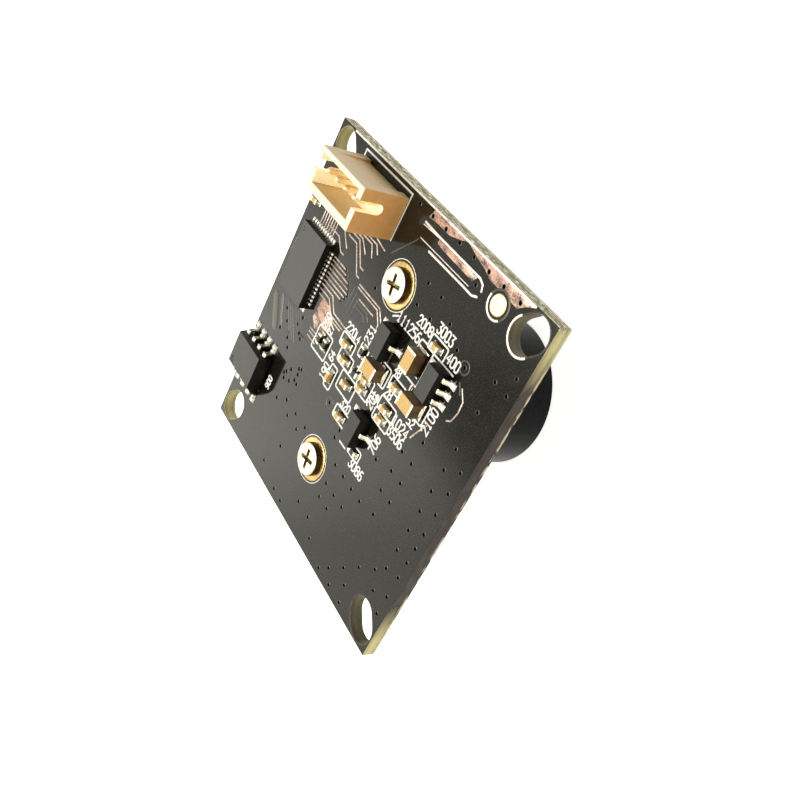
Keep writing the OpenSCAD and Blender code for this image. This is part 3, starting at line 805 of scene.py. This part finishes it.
# white print: boxes round the parts, then plain numbers where the board is marked
silkFit = {"line": 0.165, "rise": 0.036, "corner": 0.2, "digit": 0.155, "narrow": 0.72, "pitch": 0.68}
silkBoxes = [      # left, right, bottom, top
    (-3.6, -1.35, 1.0, 2.2), (-2.95, -0.7, -0.25, 1.0), (-1.55, 1.0, -2.1, -0.3), (0.7, 2.8, -0.6, 1.35),
    (-3.15, -2.1, -3.1, -0.9), (-0.3, 1.9, -4.2, -3.0), (4.1, 6.5, 0.2, 1.35), (4.1, 6.5, -0.9, 0.15),
    (5.95, 8.2, 7.4, 8.6), (4.15, 6.35, 2.25, 3.35), (0.95, 3.85, 1.6, 3.4), (5.1, 7.0, 4.2, 7.5),
    (6.5, 9.4, 2.3, 4.2), (-6.9, -4.4, -1.7, 0.6), (3.4, 5.2, -5.1, -4.1),
]
silkLines = [
    [(-11.15, 11.2), (-11.15, 15.35), (-3.3, 15.35), (-3.3, 11.2)],
    [(7.9, 7.4), (9.8, 7.4)],
    [(7.6, 4.2), (7.6, 4.6)],
    [(2.1, -5.2), (3.1, -5.2)],
    [(1.0, 6.8), (1.6, 7.2)],
    [(-15.4, 2.85), (-15.4, 4.35)],
    [(-0.8, 2.9), (-0.8, 1.9), (0.4, 1.9), (0.4, 2.9)],
]

digitStrokes = {      # drawn on a grid four wide and six high
    "0": [[(0, 1), (0, 5), (1, 6), (3, 6), (4, 5), (4, 1), (3, 0), (1, 0), (0, 1)]],
    "1": [[(1, 5), (2, 6), (2, 0)], [(1, 0), (3, 0)]],
    "2": [[(0, 5), (1, 6), (3, 6), (4, 5), (4, 4), (0, 0), (4, 0)]],
    "3": [[(0, 6), (4, 6), (2, 3.6), (4, 2.4), (4, 1), (3, 0), (1, 0), (0, 1)]],
    "4": [[(3, 0), (3, 6), (0, 2), (4, 2)]],
    "5": [[(4, 6), (0, 6), (0, 3.4), (3, 3.4), (4, 2.5), (4, 1), (3, 0), (0, 0)]],
    "6": [[(3.6, 6), (1.6, 6), (0, 4), (0, 1), (1, 0), (3, 0), (4, 1), (4, 2.4), (3, 3.4), (0, 3.4)]],
    "7": [[(0, 6), (4, 6), (1.5, 0)]],
    "8": [[(1, 3.2), (0, 4.2), (0, 5), (1, 6), (3, 6), (4, 5), (4, 4.2), (3, 3.2), (1, 3.2)],
          [(1, 3.2), (0, 2.2), (0, 1), (1, 0), (3, 0), (4, 1), (4, 2.2), (3, 3.2)]],
    "9": [[(0.4, 0), (2.4, 0), (4, 2), (4, 5), (3, 6), (1, 6), (0, 5), (0, 3.6), (1, 2.6), (4, 2.6)]],
}
silkNumbers = [      # text, lower left corner, height, turn in degrees
    ("11", 1.6, 6.85, 0.85), ("1256", 2.75, 6.85, 0.85), ("2008", 3.8, 8.05, 0.8),
    ("3003", 6.1, 8.85, 0.85), ("400", 8.4, 7.75, 0.85), ("220", -3.55, 2.4, 0.8),
    ("231", 0.0, 3.2, 0.85, 90), ("2100", 10.4, 2.2, 0.85, 90), ("1024", 6.5, 0.35, 0.85),
    ("3506", 6.5, -0.65, 0.85), ("706", 6.4, -3.15, 0.85, 90), ("3086", 4.3, -5.9, 0.85),
    ("320", 0.1, -2.9, 0.75), ("190", -3.3, -2.9, 0.8, 90), ("201", 3.75, -0.6, 0.8, 90),
    ("28", 4.2, 1.45, 0.8), ("48", 4.1, 3.5, 0.7), ("260", -5.95, 0.7, 0.7, 90),
    ("27", -4.95, 0.7, 0.7, 90), ("900", -10.0, -9.0, 0.65, 90),
    ("58", 2.0, 0.1, 0.7, 90), ("64", -3.3, -0.9, 0.7, 90), ("19", 3.1, 0.2, 0.7),
    ("72", -0.1, 0.3, 0.7), ("14", -2.1, 2.4, 0.7), ("36", 3.0, 2.3, 0.7, 90),
    ("52", 7.9, 1.5, 0.7),
]


def printLine(shape, path, width, closed=False):
    ridge(shape, path, width, chipSide, chipSide + silkFit["rise"], closed=closed)


def writeNumber(shape, text, x, y, height, turn=0):
    fit = silkFit
    unit, pitch, angle = height / 6, height * fit["pitch"], math.radians(turn)
    for i, digit in enumerate(text):
        for stroke in digitStrokes[digit]:
            path = [spun(x, y, i * pitch + a * unit * fit["narrow"], b * unit, angle) for a, b in stroke]
            printLine(shape, path, fit["digit"])


def makeSilkPrint():
    fit = silkFit
    shape = bmesh.new()
    for box in silkBoxes:
        printLine(shape, roundBox(*box, fit["corner"]), fit["line"], closed=True)
    for path in silkLines:
        printLine(shape, path, fit["line"])
    for number in silkNumbers:
        writeNumber(shape, *number)
    addPiece("whitePrint", shape, [silk], sharp=60)


makeSilkPrint()
print("print made")


# bare gold: rings under the screws, and a round target by the board's edge whose cream-white is a painted
# highlight on the gold
goldFit = {"rings": (9, -9), "inner": 1.02, "outer": 1.93, "target": 0.84, "rise": 0.04}


def makeGold():
    fit = goldFit
    shape = bmesh.new()
    z, top = chipSide - boardFit["overlap"], chipSide + fit["rise"]

    def shoulder(r):      # the rounded outer edge of a pad
        return [(r, z), (r - 0.03, top - 0.01), (r - 0.08, top)]

    for y in fit["rings"]:
        inner = [(fit["inner"] + 0.05, top), (fit["inner"], z)]
        turned(shape, 0, y, shoulder(fit["outer"]) + inner, count=72)
    section = shoulder(fit["target"])
    turned(shape, *boardFit["target"], section, 0, 56)
    turned(shape, *boardFit["target"], [section[-1], (0, top)], 1, 56)
    addPiece("goldPads", shape, [gold, target], sharp=40)


makeGold()
print("gold made")


# chip bodies and leads, from their CAD nodes: node, easing, finish, slot
chips = {
    "controllerShell": ("controller_body", 0.03, chipGrey, "controller_moulding"),
    "controllerEdges": ("controller_terminals", 0.02, darkTin, "tinned_leads"),
    "memoryShell": ("memory_body", 0.05, chipBlack, "chip_moulding"),
    "memoryLegs": ("memory_leads", 0.03, darkTin, "tinned_leads"),
}
for chip, letter, tail in (("regulator", "", ""), ("transistor", "A", "_1"), ("transistor", "B", "_2")):
    chips[f"{chip}Shell{letter}"] = (f"{chip}_body{tail}", 0.04, chipDull, "chip_moulding")
    chips[f"{chip}Legs{letter}"] = (f"{chip}_leads{tail}", 0.02, tin, "tinned_leads")


# the walls of a moulding are rougher than its top and coloured darker: painted shade
def shellFinish(face):
    return 1 if abs(face.normal.z) < 0.6 else 0


def makeChips():
    for name, (node, width, finish, slot) in chips.items():
        shape = eased(node, width)
        if "Shell" in name:
            paint(shape, shellFinish)
        addPiece(name, shape, [finish, chipFlankShade], [node], flats=True)


makeChips()
print("chips made")


# two-terminal parts: a ceramic block between two tin caps
small = {"count": 12, "cap": 0.24, "ease": 0.05, "ceramic": tanCeramic, "slot": "capacitor_ceramic",
         "shaded": False}
chipParts = {
    "capacitor": small,
    "load_capacitor": {**small, "count": 2},
    "bulk_capacitor": {**small, "count": 3, "cap": 0.26, "ease": 0.07, "shaded": True},
    "resistor": {**small, "count": 5, "cap": 0.22, "ease": 0.04, "ceramic": blackCeramic,
                 "slot": "resistor_ceramic"},
}


def nodesOf(kind):
    return [f"{kind}_{i + 1}" for i in range(chipParts[kind]["count"])]


def makeChipPart(node, look):
    low, high = nodeBox(node)
    size = high - low
    along = 0 if size.x > size.y else 1
    inset = Vector((0.02, 0.02, 0.02))
    inset[along] = 0.05
    bodyLow, bodyHigh = low + inset, high - inset
    if low.z < 0:      # the body's foot stays on the board, on either side of it
        bodyHigh.z = high.z
    else:
        bodyLow.z = low.z
    shape = bmesh.new()
    join(shape, block(bodyLow, bodyHigh, look["ease"] * 0.8), 0)
    for end in (0, 1):
        cap = [low.copy(), high.copy()]
        reach = look["cap"] * random.uniform(0.9, 1.1)
        cap[1 - end][along] = high[along] - reach if end else low[along] + reach
        join(shape, block(*cap, look["ease"], 3), 1)

    # the tall parts' walls take darker copies of ceramic and tin: painted shade
    def shade(face):      # walls of the tall parts have their own shades
        return face.material_index + (2 if look["shaded"] and face.normal.z < 0.6 else 0)

    paint(shape, shade)
    first, *rest = node.split("_")
    name = first + "".join(word.title() for word in rest)
    addPiece(name, shape, [look["ceramic"], tin, ceramicShade, capFlank], [node], flats=True)


for kind, look in chipParts.items():
    for node in nodesOf(kind):
        makeChipPart(node, look)
print("capacitors and resistors made")


# solder: fillets at the ends of chip parts, heaps round the feet of leads
solderFit = {"run": 0.14, "rise": 0.5, "bulkRise": 0.175, "spread": 1.08}


# side is -1 for parts underneath, which are built upside down
def solderEnds(shape, node, rise, side=1):
    low, high = nodeBox(node)
    size = high - low
    middle = (low + high) / 2
    along = 0 if size.x > size.y else 1
    board = chipSide if side > 0 else -lensSide
    for end in (-1, 1):
        spot = [middle.x, middle.y * side]
        spot[along] += end * size[along] / 2
        away = [0, 0]
        away[along] = end
        run = solderFit["run"] * random.uniform(0.85, 1.2)
        fillet(shape, *spot, away, size[1 - along] * solderFit["spread"], run, size.z * rise, board)


# beads on each lead, on its shoulder, heel and toe: the shoulder's bead is a painted highlight on the
# lead's bend, the others are solder; place along the lead, width, length, height
beads = {
    "memory_leads": [(0.14, 0.56, 0.48, 0.16), (0.64, 0.54, 0.4, 0.36), (1.04, 0.64, 0.56, 0.3)],
    "regulator_leads": [(0.6, 0.5, 0.5, 0.2), (1.0, 0.56, 0.5, 0.14)],
}
beads["transistor_leads_1"] = beads["transistor_leads_2"] = beads["regulator_leads"]


# a node's leads, each as the places of its corners, found by what is joined to what
def leadsOf(node):
    part = bmesh.new()
    part.from_mesh(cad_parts[node].data)
    bmesh.ops.remove_doubles(part, verts=part.verts, dist=1e-6)
    leads = []
    left = dict.fromkeys(part.verts)      # in order, so that every run draws alike
    while left:
        lead, edge = [], [left.popitem()[0]]
        while edge:
            v = edge.pop()
            lead.append(v.co / mm)
            for w in (e.other_vert(v) for e in v.link_edges):
                if w in left:
                    del left[w]
                    edge.append(w)
        leads.append(lead)
    part.free()
    return leads


def solderFeet(shape, node):
    low, high = nodeBox(node.replace("leads", "body"))
    middle = (low + high) / 2
    for lead in leadsOf(node):
        least, most = ([pick(p[i] for p in lead) for i in range(3)] for pick in (min, max))
        along = 0 if most[0] - least[0] > most[1] - least[1] else 1
        near, far = least[along], most[along]
        if abs(near - middle[along]) > abs(far - middle[along]):
            near, far = far, near
        spot = [(least[0] + most[0]) / 2, (least[1] + most[1]) / 2]
        for place, width, length, height in beads[node]:
            spot[along] = near + (far - near) * place
            # the shoulder's bead is a painted highlight
            base = most[2] - 0.02 if place < 0.3 else chipSide      # the shoulder's bead lies on the lead
            across = (length, width) if along == 0 else (width, length)
            heap(shape, *spot, *across, height, base)


# the controller's solder: dots along its long sides, bars at its two ends
controllerFit = {"pitch": 0.4, "long": 14, "short": 11, "dot": 0.25, "bar": (0.24, 0.5), "height": 0.14}


def solderController(shape):
    fit = controllerFit
    low, high = nodeBox("controller_body")
    middle = (low + high) / 2
    dot, (wide, deep) = fit["dot"], fit["bar"]
    for end in (-1, 1):
        x = middle.x + end * (high.x - middle.x + dot)
        for i in range(fit["long"]):
            y = middle.y + (i - (fit["long"] - 1) / 2) * fit["pitch"]
            heap(shape, x, y, dot, dot, fit["height"], chipSide, steps=6)
        y = middle.y + end * (high.y - middle.y + deep / 2)
        for i in range(fit["short"]):
            x = middle.x + (i - (fit["short"] - 1) / 2) * fit["pitch"]
            heap(shape, x, y, wide, deep, fit["height"], chipSide, steps=6, power=0.4)


def makeSolder():
    fit = solderFit
    shape = bmesh.new()
    for node in nodesOf("capacitor") + nodesOf("resistor"):
        solderEnds(shape, node, fit["rise"])
    for node in nodesOf("bulk_capacitor"):
        solderEnds(shape, node, fit["bulkRise"])
    for node in beads:
        solderFeet(shape, node)
    solderController(shape)
    addPiece("solderJoints", shape, [solder, bead], sharp=60)


# radius and height of the solder round a header pin
pinJoint = [(0.85, -0.002), (0.83, 0.05), (0.62, 0.16), (0.42, 0.42), (0.3, 0.7), (0.26, 0.72)]


# header joints and the clock parts on the lens side, built upside down
def makeSolderUnderneath():
    shape = bmesh.new()
    for x in boardFit["pins"]:
        turned(shape, x, -boardFit["pinRow"], [(r, h - lensSide) for r, h in pinJoint])
    for node in nodesOf("load_capacitor"):
        solderEnds(shape, node, solderFit["rise"], -1)
    shape.transform(Matrix.Rotation(math.pi, 4, "X"))
    addPiece("solderUnderneath", shape, [solder], sharp=60)


makeSolder()
makeSolderUnderneath()
print("solder made")


headerFinishes = [headerNylon, headerRimHighlight, headerKeyGlow, headerSideSheen]

# header, contacts, screws, crystal and holder: node, easing, finishes, slot
fittings = {
    "headerShell": ("header_housing", 0.05, headerFinishes, "header_plastic"),
    "headerPins": ("header_contacts", 0.03, [contactMetal], "plated_brass"),
    "screwHeads": ("holder_screws", 0.035, [nickel, recess, headWallShade], "screw_metal"),
    "crystalCan": ("crystal", 0.06, [lidMetal], "crystal_lid"),
    "holderShell": ("lens_holder", 0.12, [holderBlack], "holder_plastic"),
}
screwFit = {"top": nodeBox("holder_screws")[1].z, "rim": 0.3, "rimOutside": 1.4, "rimAbove": 0.55,
            "recess": 0.85, "recessBelow": 0.06, "wall": 0.55}
headerFit = {"top": nodeBox("header_housing")[1].z, "rim": 0.04, "middle": -7.15, "keyways": (2.9, 3.72),
             "keywayHalf": 0.5, "keywayAbove": 3.1, "floorBelow": 3.0}


def fromScrew(spot):
    return min(math.hypot(spot.x, spot.y - y) for y in boardFit["screws"])


def onScrewRim(spot):
    return spot.z > chipSide + screwFit["rimAbove"] and fromScrew(spot) > screwFit["rimOutside"]


# the cross recess and the wall of a screw head are dull, and coloured dark as painted shade
def screwFinish(face):
    fit = screwFit
    spot = face.calc_center_median()
    if fromScrew(spot) < fit["recess"]:
        return 1 if spot.z < fit["top"] - fit["recessBelow"] else 0
    return 2 if face.normal.z < fit["wall"] else 0


# painted light on the header: its rim is a paler copy as a painted highlight, its keyways and floor glow as
# painted light, and faces towards +Y are a greyer copy as a painted sheen
def headerFinish(face):
    fit = headerFit
    spot = face.calc_center_median()
    if spot.z > fit["top"] - fit["rim"]:
        return 1
    near, far = fit["keyways"]
    atEnd = near < abs(spot.x - fit["middle"]) < far
    atKeyway = atEnd and abs(spot.y - boardFit["pinRow"]) < fit["keywayHalf"]
    onFloor = face.normal.z > 0.6 and spot.z < fit["floorBelow"]
    if onFloor or atKeyway and spot.z > fit["keywayAbove"]:
        return 2
    return 3 if face.normal.y > 0.6 else 0


def makeFittings():
    rules = {"headerShell": headerFinish, "screwHeads": screwFinish}
    for name, (node, width, finishes, slot) in fittings.items():
        shape = eased(node, width, onScrewRim if name == "screwHeads" else None, screwFit["rim"])
        if name in rules:
            paint(shape, rules[name])
        addPiece(name, shape, finishes, [node], flats=True)


makeFittings()

# what stays as the CAD model has it only takes its finish
plainFinishes = [
    (filterGlass, ["infrared_filter"]),
    (carrierBlack, ["sensor_package"]),
    (silicon, ["sensor_die"]),
    (coverGlass, ["sensor_glass"]),
    (anodised, ["lens_barrel", "lens_retaining_ring", "wide_spacer", "narrow_spacer"]),
    (lensGlass, ["front_lens", "second_lens", "third_lens", "rear_lens"]),
]
for finish, nodes in plainFinishes:
    for node in nodes:
        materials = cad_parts[node].data.materials
        materials.clear()
        materials.append(finish)
print("fittings made")


# bench, lights and camera
benchLook = {"size": 1600.0, "shade": "f4f4f2", "gloss": 0.9, "glow": 0.8}
lightFit = {
    "key": {"at": (-50, -25, 190), "size": 110, "power": 0.31, "tint": (1.0, 1.0, 1.0)},
    "fill": {"at": (170, -50, 45), "size": 110, "power": 0.09, "tint": (1.0, 0.86, 0.68)},
}
cameraFit = {"at": (52.94, 35.99, 48.22), "aim": (6.13, 2.33, 1.2), "roll": 86.3, "lens": 42.95, "near": 1,
             "far": 10000}


def makeBench():
    look = benchLook
    shape = bmesh.new()
    half = look["size"] / 2 * mm
    corners = [(-half, -half), (half, -half), (half, half), (-half, half)]
    shape.faces.new([shape.verts.new((*corner, benchTop * mm)) for corner in corners])
    mesh = asMesh("bench", shape)
    f = newFinish("whiteBench")
    seen = f.span(f.ray("Camera") + f.ray("Glossy") + f.ray("Transmission"), 0, 1)
    glow = f.mix(seen, "000000", "ffffff")
    light = {"Specular IOR Level": 0.0, "Emission Color": glow, "Emission Strength": look["glow"]}
    mesh.materials.append(f.surface(look["shade"], look["gloss"], None, light))
    putInScene("bench", mesh)


def makeLights():
    for name, fit in lightFit.items():
        light = bpy.data.lights.new(name, "AREA")
        light.shape = "SQUARE"
        light.size = fit["size"] * mm
        light.energy = fit["power"]
        light.color = fit["tint"]
        lamp = putInScene(name, light)
        lamp.location = Vector(fit["at"]) * mm
        lamp.rotation_euler = (-lamp.location).to_track_quat("-Z", "Y").to_euler()


# the room: brightest low down on the side away from the camera, dimmer overhead
roomLook = {"across": (0.616, -0.788, 0.0), "toward": (-0.788, -0.616, 0.0), "tint": "fcfaee",
            "glow": 1.66, "rest": 0.8, "dark": 0.15, "overhead": 1.9, "fill": 0.5}


def makeRoom():
    look = roomLook
    world = bpy.data.worlds.new("room")
    bpy.context.scene.world = world
    f = Finish(world)
    place = f.add("TexCoord", out="Generated")
    z = f.add("SeparateXYZ", None, {0: place}, out="Z")
    dot = {"operation": "DOT_PRODUCT"}
    facing = f.add("VectorMath", dot, {0: place, 1: look["toward"]}, out="Value")
    across = f.add("VectorMath", dot, {0: place, 1: look["across"]}, out="Value")
    # glossy surfaces see one wide soft window low on the far side, and a dark near side
    window = f.span(z - across * 0.4, 0.635, 0.675, 1, 0) * f.span(across, 0.03, 0.12, 1, 0.52)
    window = window * f.span(across, -0.25, -0.08, 0.3, 1) * f.span(facing, 0.2, 0.6, 0, look["glow"])
    lit = f.span(facing, -0.2, 0.4, look["dark"], look["rest"]) * f.span(across, -0.11, -0.05, 1, 0.45)
    glossy = window + lit + f.span(z, 0.73, 0.8, 0, look["overhead"])
    soft = f.span(facing, -1, 1, look["fill"] * 0.4, look["fill"] * 1.6)
    seen = f.ray("Camera")
    sharp = f.span(f.ray("Glossy") + f.ray("Transmission"), 0, 1)
    strength = (glossy * sharp + soft * (1 - sharp)) * (1 - seen) + seen
    tint = f.mix(seen, look["tint"], "ffffff")
    background = f.add("Background", None, {"Color": tint, "Strength": strength})
    f.add("OutputWorld", None, {"Surface": background})


def makeCamera():
    fit = cameraFit
    camera = putInScene("camera", bpy.data.cameras.new("camera"))
    camera.data.lens = fit["lens"]
    camera.data.clip_start = fit["near"] * mm
    camera.data.clip_end = fit["far"] * mm
    camera.location = Vector(fit["at"]) * mm
    look = (Vector(fit["aim"]) - Vector(fit["at"])).normalized()
    level = look.to_track_quat("-Z", "Y")
    camera.rotation_mode = "QUATERNION"
    camera.rotation_quaternion = Quaternion(look, math.radians(fit["roll"])) @ level
    bpy.context.scene.camera = camera


makeBench()
makeLights()
makeRoom()
makeCamera()
bpy.context.scene.view_settings.view_transform = "Standard"
print("studio made")
